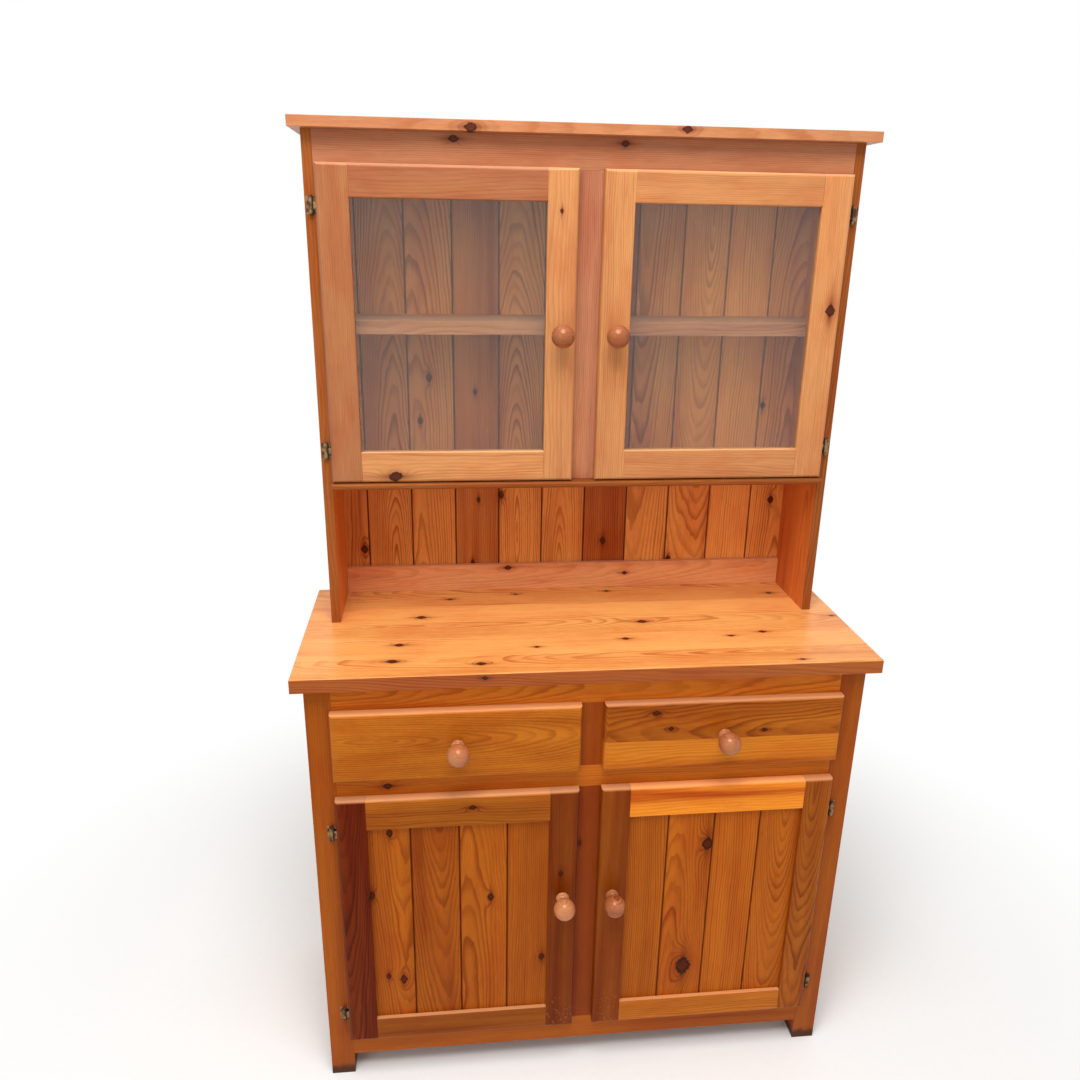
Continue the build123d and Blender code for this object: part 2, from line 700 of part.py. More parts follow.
def drawer(name, side):
    """A lay-on drawer front with a pine box behind it."""
    node = f"drawer_{name}"
    x0, x1 = sorted((side * lower_door_inner, side * lower_door_outer))
    front = rounded_front(x0, x1, base_front, drawer_front_bottom, drawer_front_top)
    bx0, bx1 = sorted((side * drawer_box_inner, side * drawer_box_outer))
    y0 = base_front + front_thickness
    y1 = y0 + drawer_box_length
    floor_z = drawer_box_bottom + drawer_bottom_height
    groove = block(bx0 + drawer_board - drawer_groove_depth,
                   bx1 - drawer_board + drawer_groove_depth,
                   y0 - drawer_groove_depth, y1 - drawer_board + drawer_groove_depth,
                   floor_z, floor_z + drawer_bottom_thickness + drawer_groove_fit)
    middle = (x0 + x1) / 2
    knob_z = (drawer_front_bottom + drawer_front_top) / 2
    write(f"{node}_front", [cut_all(front, [groove, knob_hole(middle, base_front, knob_z)])])
    boards = [block(bx0, bx0 + drawer_board, y0, y1, drawer_box_bottom, drawer_box_top),
              block(bx1 - drawer_board, bx1, y0, y1, drawer_box_bottom, drawer_box_top),
              block(bx0 + drawer_board, bx1 - drawer_board, y1 - drawer_board, y1,
                    drawer_box_bottom, drawer_box_top)]
    write(f"{node}_box", [board - groove for board in boards])
    reach = drawer_groove_depth - front_gap
    write(f"{node}_bottom", [block(bx0 + drawer_board - reach, bx1 - drawer_board + reach,
                                   y0 - reach, y1 - drawer_board + reach,
                                   floor_z, floor_z + drawer_bottom_thickness)])
    write(f"{node}_knob", [knob_at(middle, base_front, knob_z)])


for name, side in SIDES.items():
    glazed_door(name, side)
    cupboard_door(name, side)
    drawer(name, side)
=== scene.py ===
import math
import random

import bmesh
import bpy
import numpy as np
from mathutils import Matrix, Vector


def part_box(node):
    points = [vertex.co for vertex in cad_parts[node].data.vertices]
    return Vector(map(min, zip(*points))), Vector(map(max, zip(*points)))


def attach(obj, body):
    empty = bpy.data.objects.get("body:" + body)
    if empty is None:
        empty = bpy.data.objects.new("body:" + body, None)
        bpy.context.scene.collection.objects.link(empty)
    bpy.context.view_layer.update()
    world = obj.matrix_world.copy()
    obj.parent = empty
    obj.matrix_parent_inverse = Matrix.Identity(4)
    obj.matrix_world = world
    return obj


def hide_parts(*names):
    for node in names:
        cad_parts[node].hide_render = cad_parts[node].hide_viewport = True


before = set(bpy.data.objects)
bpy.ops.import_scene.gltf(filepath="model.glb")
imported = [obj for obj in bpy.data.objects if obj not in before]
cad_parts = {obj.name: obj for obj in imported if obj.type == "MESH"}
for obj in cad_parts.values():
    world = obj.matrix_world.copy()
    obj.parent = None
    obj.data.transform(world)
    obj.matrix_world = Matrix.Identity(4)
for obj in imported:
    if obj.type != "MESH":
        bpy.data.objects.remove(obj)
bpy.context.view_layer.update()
scene = bpy.context.scene
scene.view_settings.view_transform = 'Standard'


# The camera stands to the left of the dresser at head height and looks down at it, turned
# a little to the right and tipped about one degree, as the hand-held photograph was taken.
yaw, pitch, roll = math.radians(6.235), math.radians(-18.9), math.radians(0.94)
ahead = Vector((math.sin(yaw) * math.cos(pitch), math.cos(yaw) * math.cos(pitch), math.sin(pitch)))
right = Vector((math.cos(yaw), -math.sin(yaw), 0))
up = right.cross(ahead)
tipped_right = math.cos(roll) * right + math.sin(roll) * up
tipped_up = math.cos(roll) * up - math.sin(roll) * right
camera = bpy.data.objects.new("camera", bpy.data.cameras.new("camera"))
camera.data.sensor_width = 36
camera.data.lens = 29.82
camera_place = (-0.268, -1.650, 1.716)
camera.matrix_world = Matrix.Translation(camera_place) @ Matrix(
    (tipped_right, tipped_up, -ahead)).transposed().to_4x4()
scene.collection.objects.link(camera)
scene.camera = camera


# The studio: a round pale floor that keeps the dresser's soft shadow and fades to white away from it,
# a white surround, a wide soft lamp above and in front, and a dimmer one at the front for the doors.
def add(tree, kind, inputs=None, **settings):
    """Adds a shader or geometry node, sets its fields, and links or sets each named input."""
    node = tree.nodes.new(kind)
    for name, value in settings.items():
        setattr(node, name, value)
    for name, value in (inputs or {}).items():
        if isinstance(value, bpy.types.NodeSocket):
            tree.links.new(value, node.inputs[name])
        else:
            node.inputs[name].default_value = value
    return node


def srgb(code):
    """A colour written as a hex code, turned linear."""
    parts = [int(code[i:i + 2], 16) / 255 for i in (0, 2, 4)]
    return tuple(p / 12.92 if p <= 0.04045 else ((p + 0.055) / 1.055) ** 2.4 for p in parts) + (1,)


def new_material(name):
    """An empty node material and its output node."""
    material = bpy.data.materials.new(name)
    material.use_nodes = True
    material.node_tree.nodes.clear()
    return material, add(material.node_tree, 'ShaderNodeOutputMaterial')


def math_node(tree, operation, *values, clamp=False):
    """One Math node; returns its output."""
    node = add(tree, 'ShaderNodeMath', dict(enumerate(values)), operation=operation, use_clamp=clamp)
    return node.outputs[0]


floor_radius, shadow_ends, all_white = 9.0, 0.75, 1.7
floor_mesh = bpy.data.meshes.new("studio_floor")
shape = bmesh.new()
bmesh.ops.create_circle(shape, cap_ends=True, segments=96, radius=floor_radius)
shape.to_mesh(floor_mesh)
shape.free()
studio_floor = bpy.data.objects.new("studio_floor", floor_mesh)
scene.collection.objects.link(studio_floor)
floor_paint, out = new_material("pale floor paint")
tree = floor_paint.node_tree
place = add(tree, 'ShaderNodeTexCoord').outputs['Object']
away = add(tree, 'ShaderNodeVectorMath', {0: place}, operation='LENGTH').outputs['Value']
fade = add(tree, 'ShaderNodeMapRange', {'Value': away, 'From Min': shadow_ends, 'From Max': all_white},
           interpolation_type='SMOOTHSTEP').outputs['Result']
speckle = add(tree, 'ShaderNodeTexNoise', {'Vector': place, 'Scale': 60.0, 'Detail': 3.0})
paint = add(tree, 'ShaderNodeMix', {'Factor': speckle.outputs['Fac'], 6: srgb("f4f4f3"), 7: srgb("f8f8f7")},
            data_type='RGBA')
matt = add(tree, 'ShaderNodeBsdfDiffuse', {'Color': paint.outputs[2]})
glow = add(tree, 'ShaderNodeEmission', {'Color': (1, 1, 1, 1), 'Strength': 1.0})
both = add(tree, 'ShaderNodeMixShader', {0: fade, 1: matt.outputs[0], 2: glow.outputs[0]})
tree.links.new(both.outputs[0], out.inputs['Surface'])
floor_mesh.materials.append(floor_paint)

world = bpy.data.worlds.new("white surround")
world.use_nodes = True
scene.world = world
tree = world.node_tree
tree.nodes.clear()
light_path = add(tree, 'ShaderNodeLightPath')
shown = math_node(tree, 'MAXIMUM', light_path.outputs['Is Camera Ray'],
                  light_path.outputs['Is Transmission Ray'])
shown = math_node(tree, 'MAXIMUM', shown, light_path.outputs['Is Glossy Ray'])
soft = add(tree, 'ShaderNodeBackground', {'Color': (1.0, 0.985, 0.96, 1), 'Strength': 0.50})
white = add(tree, 'ShaderNodeBackground', {'Color': (1, 1, 1, 1), 'Strength': 1.0})
both = add(tree, 'ShaderNodeMixShader', {0: shown, 1: soft.outputs[0], 2: white.outputs[0]})
out = add(tree, 'ShaderNodeOutputWorld')
tree.links.new(both.outputs[0], out.inputs['Surface'])


def soft_lamp(name, place, aim, size, power):
    """A square area lamp at a place, turned to face a point."""
    data = bpy.data.lights.new(name, 'AREA')
    data.shape, data.size, data.energy = 'SQUARE', size, power
    lamp = bpy.data.objects.new(name, data)
    lamp.matrix_world = Matrix.Translation(place) @ (
        Vector(aim) - Vector(place)).to_track_quat('-Z', 'Y').to_matrix().to_4x4()
    scene.collection.objects.link(lamp)


soft_lamp("overhead lamp", (-0.3, -1.35, 3.7), (0, -0.1, 0.9), 1.8, 100)
soft_lamp("front lamp", (-2.9, -3.2, 2.4), (0, 0, 1.0), 2.0, 26)


# The worktop is of pine staves glued edge to edge, planed flat, its front edge and ends squared with
# the sharp corners eased off. It is the most worn surface, with small dark knots. Its pine is paler
# than the doors': painted light, for a top that faces the light above; its forward faces are darkened
# back again, painted shade.
def solids_of(mesh):
    """Groups a CAD mesh's faces into its closed solids, in the order in which they were written."""
    spot = [tuple(round(c * 1e6) for c in v.co) for v in mesh.vertices]
    groups, open_edges, group = [], {}, []
    for face in mesh.polygons:
        ring = [spot[i] for i in face.vertices]
        group.append(face.index)
        for a, b in zip(ring, ring[1:] + ring[:1]):
            if a == b:
                continue
            if open_edges.get((b, a)):
                open_edges[b, a] -= 1
                if not open_edges[b, a]:
                    del open_edges[b, a]
            else:
                open_edges[a, b] = open_edges.get((a, b), 0) + 1
        if not open_edges:
            groups.append(group)
            group = []
    return groups


def solid_copies(node):
    """One merged mesh in edit form for each solid of a CAD node, with flat faces whole again."""
    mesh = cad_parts[node].data
    copies = []
    for group in solids_of(mesh):
        solid = bmesh.new()
        made = {}
        for index in group:
            ring = []
            for i in mesh.polygons[index].vertices:
                co = mesh.vertices[i].co
                key = tuple(round(c * 1e6) for c in co)
                if key not in made:
                    made[key] = solid.verts.new(co)
                if made[key] not in ring:
                    ring.append(made[key])
            if len(ring) > 2:
                solid.faces.new(ring)
        bmesh.ops.remove_doubles(solid, verts=solid.verts, dist=2e-6)
        bmesh.ops.dissolve_limit(solid, angle_limit=math.radians(0.4), verts=solid.verts, edges=solid.edges)
        copies.append(solid)
    return copies


def extent(solid):
    """Lowest and highest corner of a mesh in edit form."""
    spots = np.array([v.co for v in solid.verts])
    return spots.min(0), spots.max(0)


def split_at(solid, axis, places):
    """Cuts a solid across one axis at the given places and caps each part, as boards before glueing."""
    parts = []
    beyond = 1e3
    edges = [-beyond] + sorted(places) + [beyond]
    for low, high in zip(edges, edges[1:]):
        part = solid.copy()
        for place, keep_above in ((low, True), (high, False)):
            if abs(place) == beyond:
                continue
            normal = Vector([axis == i for i in range(3)])
            cut = bmesh.ops.bisect_plane(part, geom=part.verts[:] + part.edges[:] + part.faces[:],
                                         plane_co=normal * place, plane_no=normal,
                                         clear_inner=keep_above, clear_outer=not keep_above)
            rim = [e for e in cut["geom_cut"] if isinstance(e, bmesh.types.BMEdge)]
            bmesh.ops.contextual_create(part, geom=rim)
        bmesh.ops.recalc_face_normals(part, faces=part.faces[:])
        parts.append(part)
    solid.free()
    return parts


def ease(solid, radius):
    """Takes the sharp corners off a board, as a pass of sandpaper does."""
    sharp = math.radians(32)
    edges = [e for e in solid.edges if len(e.link_faces) == 2 and e.calc_face_angle(0) > sharp]
    bmesh.ops.bevel(solid, geom=edges, offset=radius, segments=2, profile=0.5, affect='EDGES',
                    clamp_overlap=True)


def weigh_normals(piece):
    """Lets the large faces set the shading at rounded corners, then bakes that into the mesh."""
    steady = piece.modifiers.new("normals", 'WEIGHTED_NORMAL')
    steady.keep_sharp = True
    steady.weight = 100
    baked = bpy.data.meshes.new_from_object(piece.evaluated_get(bpy.context.evaluated_depsgraph_get()))
    piece.modifiers.clear()
    old, piece.data = piece.data, baked
    baked.name = old.name
    bpy.data.meshes.remove(old)


def finish_piece(name, joined, body, material, nodes):
    """Turns joined solids into one shaded piece that rides on its body and stands for its CAD nodes."""
    mesh = bpy.data.meshes.new(name)
    bmesh.ops.recalc_face_normals(joined, faces=joined.faces[:])
    joined.to_mesh(mesh)
    joined.free()
    mesh.shade_smooth()
    mesh.set_sharp_from_angle(angle=math.radians(50))
    mesh.materials.append(material)
    piece = bpy.data.objects.new(name, mesh)
    scene.collection.objects.link(piece)
    weigh_normals(piece)
    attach(piece, body)
    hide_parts(*nodes)


most_knots = 6  # on one board; the last place can hold a knot that shows on the board's edge


def timber(name, solids, body, slot, material, looks, nodes, along=None, through=None, knots=(),
           edge_knot=None, radius=0.0007, order=0):
    """Joins boards into one piece. Each board keeps its own place in its own tree, for the wood material:
    tree = metres along the grain and from the pith, board = (tone, shade, contrast), rings = ring spacing,
    worn = how far a spot faces up, which turns upper faces paler as worn lacquer and a painted highlight,
    sunk = how deep it lies in a joint, knot_n = where a knot is along and across the board, and its radius.
    Boards take their looks in order along the axis 'order'. A look is the tone from sapwood to heartwood,
    the brightness, the cut, a seed and, if not the cut's, the contrast. A knot is given as x, y, z and its
    radius."""
    knot_reach = 0.004
    joint_depth = 0.0022
    solids = sorted(solids, key=lambda s: (extent(s)[0][order] + extent(s)[1][order]))
    joined = bmesh.new()
    layers = [joined.verts.layers.float_vector.new(n) for n in ("tree", "board")]
    ring_layer = joined.verts.layers.float.new("rings")
    wear_and_highlight_layer = joined.verts.layers.float.new("worn")
    sunk_layer = joined.verts.layers.float.new("sunk")
    knot_layers = [joined.verts.layers.float_vector.new(f"knot_{n}") for n in range(most_knots)]
    for number, solid in enumerate(solids):
        tone, shade, cut, seed, *own = looks[number % len(looks)]
        low, high = extent(solid)
        size, middle = high - low, (high + low) / 2
        grain = int(np.argmax(size)) if along is None else along
        across, inward = sorted((i for i in range(3) if i != grain), key=lambda i: (i == through, -size[i]))
        start = seed * 3.0
        chance = random.Random(seed * 7919 + 11)
        side = chance.choice((-1, 1))
        # where the board lay in its tree: how far the pith is across and through, the trunk's lean,
        # ring spacing and contrast
        offset, depth, lean, rings, contrast = {
            "cathedral": (0.10 * size[across] * side, 0.028, 0.085, 0.0040, 1.1),
            "flat": (0.30 * size[across] * side, 0.042, 0.055, 0.0042, 1.0),
            "rift": (0.95 * size[across] * side, 0.060, 0.012, 0.0040, 0.75),
            "quarter": (side * (0.09 + size[across] / 2), 0.012, 0.005, 0.0036, 0.55),
        }[cut]
        contrast = own[0] if own else contrast
        depth *= chance.uniform(0.85, 1.2) * (1 if chance.random() < 0.8 else -1)
        lean *= chance.uniform(0.7, 1.3) * chance.choice((-1, 1))
        sway = chance.uniform(-0.006, 0.006)
        rings *= chance.uniform(0.85, 1.15)
        ease(solid, radius)

        def in_tree(spot):
            a = spot[grain] - middle[grain]
            b = spot[across] - middle[across] - offset - sway * a
            c = spot[inward] - middle[inward] - depth - lean * a
            return a, b, c

        held = []
        for x, y, z, knot_radius in knots:
            spot = np.array((x, y, z))
            if np.all(spot > low - knot_reach) and np.all(spot < high + knot_reach):
                a, b, _ = in_tree(spot)
                held.append((a + start, b + sway * a, knot_radius))
        held = (held + [(0, 0, 0)] * most_knots)[:most_knots]
        if edge_knot:
            held[-1] = (0, 0, 0)
            if low[1] < edge_knot[1] < high[1]:
                a, _, c = in_tree(np.array(edge_knot[:3]))
                held[-1] = (a + start, c, edge_knot[3])
        twins = {}
        solid.normal_update()
        for vert in solid.verts:
            a, b, c = in_tree(vert.co)
            twin = joined.verts.new(vert.co)
            twins[vert] = twin
            twin[layers[0]] = (a + start, b, c)
            twin[layers[1]] = (tone, shade, contrast)
            twin[ring_layer] = rings
            # how far the spot faces up: upper faces are made paler, worn lacquer and a painted highlight
            twin[wear_and_highlight_layer] = max(0.0, vert.normal.z)
            below = min(high[inward] - vert.co[inward], vert.co[inward] - low[inward])
            twin[sunk_layer] = min(1.0, below / joint_depth)
            for layer, knot in zip(knot_layers, held):
                twin[layer] = knot
        for face in solid.faces:
            joined.faces.new([twins[v] for v in face.verts])
        solid.free()
    finish_piece(name, joined, body, material, nodes)


def pine(name, sap, heart, late=0.62, knots=3, gloss=0.36, coat=0.03, shine="ffb468", specular=0.28,
         worn=0.0, highlight_and_wear_colour="f0c49c", streaks=0.35, grooves=False, dirt=False, scuffs=False,
         shaded_front_edge=None, edge_knot=False):
    """Lacquered Scots pine, solid through the board: growth rings about the pith, fibres, streaks, knots.
    Ring spacing comes with each board, at the wide end of the real 2-4 mm or just past it, so that it
    still shows. late = how much darker the late wood is, rubbed = the colour that faces turning upward
    take on, worn lacquer and a painted highlight together, shaded_front_edge = the axis, where along it the
    painted shade on the faces that look forward starts and is full, and its colour."""
    material, out = new_material(name)
    tree = material.node_tree

    def m(operation, *values, clamp=False):
        return math_node(tree, operation, *values, clamp=clamp)

    def noise(vector, scale, detail=2.0, rough=0.5):
        return add(tree, 'ShaderNodeTexNoise', {'Vector': vector, 'Scale': scale, 'Detail': detail,
                                                'Roughness': rough}).outputs['Fac']

    def smooth(value, start, end, low=0.0, high=1.0):
        return add(tree, 'ShaderNodeMapRange', {
            'Value': value, 'From Min': start, 'From Max': end, 'To Min': low, 'To Max': high},
            interpolation_type='SMOOTHSTEP').outputs['Result']

    def stretch(vector, a, b, c):
        return add(tree, 'ShaderNodeVectorMath', {0: vector, 1: (a, b, c)},
                   operation='MULTIPLY').outputs['Vector']

    def blend(kind, factor, first, second):
        return add(tree, 'ShaderNodeMix', {'Factor': factor, 6: first, 7: second},
                   data_type='RGBA', blend_type=kind).outputs[2]

    place = add(tree, 'ShaderNodeAttribute', attribute_name="tree").outputs['Vector']
    board = add(tree, 'ShaderNodeSeparateXYZ',
                {0: add(tree, 'ShaderNodeAttribute', attribute_name="board").outputs['Vector']})
    tone, shade, contrast = board.outputs
    spacing = add(tree, 'ShaderNodeAttribute', attribute_name="rings").outputs['Fac']
    split = add(tree, 'ShaderNodeSeparateXYZ', {0: place})
    along, across, through = split.outputs
    # the pith wanders by a few millimetres and each ring is uneven by less than one
    wander = m('MULTIPLY', m('SUBTRACT', noise(stretch(place, 2.6, 10, 10), 1.0), 0.5), 0.026)
    uneven = m('MULTIPLY', m('SUBTRACT', noise(stretch(place, 14, 75, 75), 1.0, 3.0), 0.5), 0.0026)
    radius = m('SQRT', m('ADD', m('MULTIPLY', across, across), m('MULTIPLY', through, through)))
    radius = m('ADD', m('ADD', radius, wander), uneven)
    knot_face, knot_rim, knot_halo, knot_ring, knot_tail = 0.0, 0.0, 0.0, 0.0, 0.0
    ragged = m('MULTIPLY', m('SUBTRACT', noise(place, 170.0), 0.5), 0.9)
    for n in range(knots):
        # a knot is the stub of a branch: it runs through the board, and the rings swell round it;
        # the last one can lie across the board instead, and then shows on the board's edge
        held = add(tree, 'ShaderNodeSeparateXYZ', {0: add(
            tree, 'ShaderNodeAttribute', attribute_name=f"knot_{n}").outputs['Vector']})
        where, beside, size = held.outputs
        there = m('GREATER_THAN', size, 0.0001)
        size = m('MAXIMUM', size, 0.0001)
        da = m('DIVIDE', m('SUBTRACT', along, where), size)
        width = through if edge_knot and n == most_knots - 1 else across
        db = m('DIVIDE', m('SUBTRACT', width, beside), size)
        aside = m('MULTIPLY', db, db)
        near = m('SQRT', m('ADD', m('MULTIPLY', m('MULTIPLY', da, da), 0.72), aside))
        pointed = m('ADD', m('MULTIPLY', m('ABSOLUTE', da), 0.58), m('ABSOLUTE', db))
        near = m('ADD', m('ADD', m('MULTIPLY', near, 0.5), m('MULTIPLY', pointed, 0.5)), ragged)
        reach = m('ADD', m('MULTIPLY', m('MULTIPLY', da, da), 0.10), m('MULTIPLY', aside, 0.42))
        swell = m('MULTIPLY', m('EXPONENT', m('MULTIPLY', reach, -1.0)), there)
        radius = m('SUBTRACT', radius, m('MULTIPLY', swell, m('MULTIPLY', size, 1.7)))
        knot_face = m('MAXIMUM', knot_face, m('MULTIPLY', smooth(near, 1.05, 0.85), there))
        rim = m('MULTIPLY', smooth(near, 0.55, 0.90), smooth(near, 1.28, 1.02))
        knot_rim = m('MAXIMUM', knot_rim, m('MULTIPLY', rim, there))
        # dark resin runs out of the knot along the grain
        tail = m('MULTIPLY', m('EXPONENT', m('MULTIPLY', aside, -3.6)),
                 m('EXPONENT', m('MULTIPLY', m('ABSOLUTE', da), -0.34)))
        knot_tail = m('MAXIMUM', knot_tail, m('MULTIPLY', tail, there))
        knot_halo = m('MAXIMUM', knot_halo, m('MULTIPLY', swell, 0.6))
        circles = m('PINGPONG', m('MULTIPLY', near, 2.2), 0.5)
        knot_ring = m('MAXIMUM', knot_ring, m('MULTIPLY', circles, there))

    ring = m('DIVIDE', radius, m('MAXIMUM', spacing, 0.001))
    number, part = m('FLOOR', ring), m('FRACT', ring)
    luck = add(tree, 'ShaderNodeTexWhiteNoise', {'W': m('ADD', number, m('MULTIPLY', tone, 37.0))},
               noise_dimensions='1D').outputs['Value']
    # pale early wood turns slowly into dark late wood, then the next year starts at once
    dark = m('MULTIPLY', smooth(part, 0.34, 0.86), smooth(part, 1.0, 0.92))
    dark = m('MULTIPLY', m('MULTIPLY', dark, m('ADD', 0.30, m('MULTIPLY', luck, 0.70))), contrast)
    fibre = noise(stretch(place, 22, 700, 700), 1.0, 3.0, 0.6)
    pores = noise(stretch(place, 60, 2600, 2600), 1.0, 1.0)
    streak = noise(stretch(place, 0.9, 22, 22), 1.0, 3.0, 0.55)
    aging = noise(stretch(place, 2.2, 5, 5), 1.0, 2.0)
    warm = m('ADD', tone, m('MULTIPLY', m('SUBTRACT', streak, 0.5), 0.95), clamp=True)
    base = blend('MIX', warm, srgb(sap), srgb(heart))
    base = blend('MULTIPLY', m('MULTIPLY', smooth(streak, 0.58, 0.74), streaks), base, srgb("c9764a"))
    late_wood = blend('MULTIPLY', 1.0, base, (late, late * 0.70, late * 0.42, 1))
    wood = blend('MIX', m('MULTIPLY', dark, 0.92, clamp=True), base, late_wood)
    wood = blend('MULTIPLY', knot_halo, wood, srgb("b06a38"))
    grey = m('ADD', 0.70, m('MULTIPLY', fibre, 0.60))
    grey = m('MULTIPLY', grey, m('ADD', 0.93, m('MULTIPLY', aging, 0.14)))
    grey = m('MULTIPLY', grey, shade)
    tint = add(tree, 'ShaderNodeCombineColor', {0: grey, 1: grey, 2: grey}).outputs[0]
    wood = blend('MULTIPLY', 1.0, wood, tint)
    wood = blend('MIX', m('MULTIPLY', knot_tail, 0.90, clamp=True), wood, srgb("561a06"))
    core = blend('MIX', knot_ring, srgb("3c1004"), srgb("6a2006"))
    wood = blend('MIX', m('MULTIPLY', knot_face, 0.92), wood, core)
    wood = blend('MIX', m('MULTIPLY', knot_rim, 0.90), wood, srgb("200a04"))
    # the lacquer is mottled, and faces that turn upward are paler: worn lacquer and dust along the
    # upper edges, and a painted highlight from the light above
    mottle = noise(stretch(place, 5, 16, 16), 1.0, 4.0, 0.6)
    wood = blend('MULTIPLY', m('MULTIPLY', smooth(mottle, 0.42, 0.68), 0.30), wood, srgb("e0906c"))
    if grooves:
        # the boards are darker deep in the V between them
        sunk = add(tree, 'ShaderNodeAttribute', attribute_name="sunk").outputs['Fac']
        wood = blend('MIX', m('MULTIPLY', smooth(sunk, 0.10, 0.80), 0.74), wood, srgb("461a08"))
    if worn:
        # upward faces paler: worn lacquer and a painted highlight from the light above
        up = add(tree, 'ShaderNodeAttribute', attribute_name="worn").outputs['Fac']
        wood = blend('MIX', m('MULTIPLY', smooth(up, 0.25, 0.95), worn), wood, srgb(highlight_and_wear_colour))
    rough = m('ADD', gloss, m('MULTIPLY', m('SUBTRACT', fibre, 0.5), 0.16))
    spot = add(tree, 'ShaderNodeTexCoord').outputs['Object']
    spot_x, spot_y, high = add(tree, 'ShaderNodeSeparateXYZ', {0: spot}).outputs
    if shaded_front_edge:
        # the faces that look forward are darkened towards the given colour: painted shade, as they get
        # less of the light from above than the tops
        axis, start, end, tint = shaded_front_edge
        edge = smooth((spot_x, spot_y, high)[axis], start, end)
        wood = blend('MULTIPLY', edge, wood, srgb(tint))
    if scuffs:
        # pale nicks low on the middle stiles
        low_down = m('MULTIPLY', smooth(high, 0.24, 0.10), smooth(m('ABSOLUTE', spot_x), 0.085, 0.078))
        nick = smooth(noise(stretch(spot, 1.0, 1.0, 0.6), 260.0, 1.0), 0.62, 0.74)
        wood = blend('MIX', m('MULTIPLY', m('MULTIPLY', nick, low_down), 0.34), wood, srgb("c88c60"))
    if dirt:
        # grime and water marks creep up the feet from the floor
        edge = m('ADD', high, m('MULTIPLY', m('SUBTRACT', noise(spot, 55.0, 3.0), 0.5), 0.022))
        foul = m('MULTIPLY', smooth(edge, 0.030, 0.012), 0.85)
        wood = blend('MIX', foul, wood, srgb("2f2622"))
        rough = m('ADD', rough, m('MULTIPLY', foul, 0.3))
    height = m('ADD', m('MULTIPLY', dark, 0.5), m('MULTIPLY', pores, 0.5))
    height = m('ADD', height, m('MULTIPLY', noise(place, 90.0, 1.0), 0.7))
    relief = add(tree, 'ShaderNodeBump', {'Height': height, 'Strength': 0.35, 'Distance': 0.0002})
    surface = add(tree, 'ShaderNodeBsdfPrincipled', {
        'Base Color': wood, 'Roughness': rough, 'Normal': relief.outputs[0], 'Coat Weight': coat,
        'Coat Roughness': 0.12, 'Specular IOR Level': specular, 'Specular Tint': srgb(shine)})
    tree.links.new(surface.outputs[0], out.inputs['Surface'])
    return material


# The worktop pine is pale, painted light for a top lit from above; its forward faces get painted shade.
worktop_pine = pine("worktop pine, worn lacquer", "eaa65e", "d07630", late=0.66, knots=most_knots,
                    gloss=0.40, coat=0.15, shine="ffe8d0", edge_knot=True,
                    shaded_front_edge=(2, 0.9575, 0.9550, "b28650"))
worktop_top = 0.958
worktop_knots = [(x, y, worktop_top, radius) for x, y, radius in (
    (-0.265, 0.165, 0.005), (-0.120, 0.185, 0.004), (-0.325, 0.070, 0.007), (-0.365, -0.060, 0.006),
    (-0.375, -0.130, 0.007), (-0.210, -0.150, 0.006), (-0.100, -0.085, 0.004), (0.085, 0.190, 0.005),
    (0.450, 0.155, 0.005), (0.130, 0.020, 0.007), (0.080, -0.060, 0.005), (0.295, -0.060, 0.004),
    (0.365, -0.045, 0.005), (0.360, -0.095, 0.006), (0.400, -0.172, 0.004), (0.540, 0.025, 0.004))]
front_edge_knot = (-0.205, -0.185, 0.949, 0.0040)
glue_lines = [-0.116, -0.034, 0.043, 0.128]
staves = split_at(solid_copies("worktop")[0], 1, glue_lines)
timber("worktop_staves", staves, "dresser", "worktop_pine", worktop_pine,
       [(0.30, 1.00, "flat", 1), (0.15, 1.03, "rift", 2), (0.25, 1.00, "flat", 3), (0.12, 1.02, "rift", 4),
        (0.20, 0.98, "flat", 5)], ["worktop"], knots=worktop_knots, edge_knot=front_edge_knot,
       order=1, along=0, radius=0.0005)


# The carcass frame: pine posts that run down as the legs, with rails and stiles tenoned into them and
# glued. Planed, stained towards orange and lacquered; the feet are dark with floor dirt.
carcass_pine = pine("carcass pine, orange lacquer", "c0681c", "7e2804", knots=1, specular=0.2, dirt=True)


def node_timber(name, nodes, body, slot, material, looks, **choices):
    """Pieces of wood made from CAD nodes as they are."""
    solids = [solid for node in nodes for solid in solid_copies(node)]
    timber(name, solids, body, slot, material, looks, nodes, **choices)


node_timber("front_posts", ["front_post_left", "front_post_right"], "dresser", "carcass_pine", carcass_pine,
            [(0.45, 0.86, "quarter", 11), (0.50, 0.86, "quarter", 12)])
node_timber("back_posts_wood", ["back_posts"], "dresser", "carcass_pine", carcass_pine,
            [(0.35, 1.0, "rift", 13), (0.45, 1.0, "quarter", 14)])
node_timber("front_rails", ["front_bottom_rail", "drawer_rail", "front_top_rail"], "dresser",
            "carcass_pine", carcass_pine,
            [(0.40, 0.95, "quarter", 15), (0.20, 1.05, "rift", 16), (0.05, 1.15, "flat", 17, 1.0)],
            order=2, knots=[(-0.390, -0.165, 0.715, 0.006)])
node_timber("centre_stile", ["centre_stiles"], "dresser", "carcass_pine", carcass_pine,
            [(0.85, 0.95, "quarter", 18), (0.65, 1.0, "quarter", 19)], order=2,
            knots=[(-0.015, -0.165, 0.560, 0.004)])
node_timber("side_and_back_rails", ["base_rails"], "dresser", "carcass_pine", carcass_pine,
            [(0.35, 1.0, "rift", 21), (0.45, 0.95, "flat", 22), (0.30, 1.0, "quarter", 23)])
node_timber("cupboard_floor_board", ["cupboard_floor"], "dresser", "carcass_pine", carcass_pine,
            [(0.30, 1.0, "flat", 24)])
node_timber("drawer_runner_rails", ["drawer_runners"], "dresser", "carcass_pine", carcass_pine,
            [(0.20, 1.0, "rift", 25), (0.35, 1.0, "quarter", 26)])


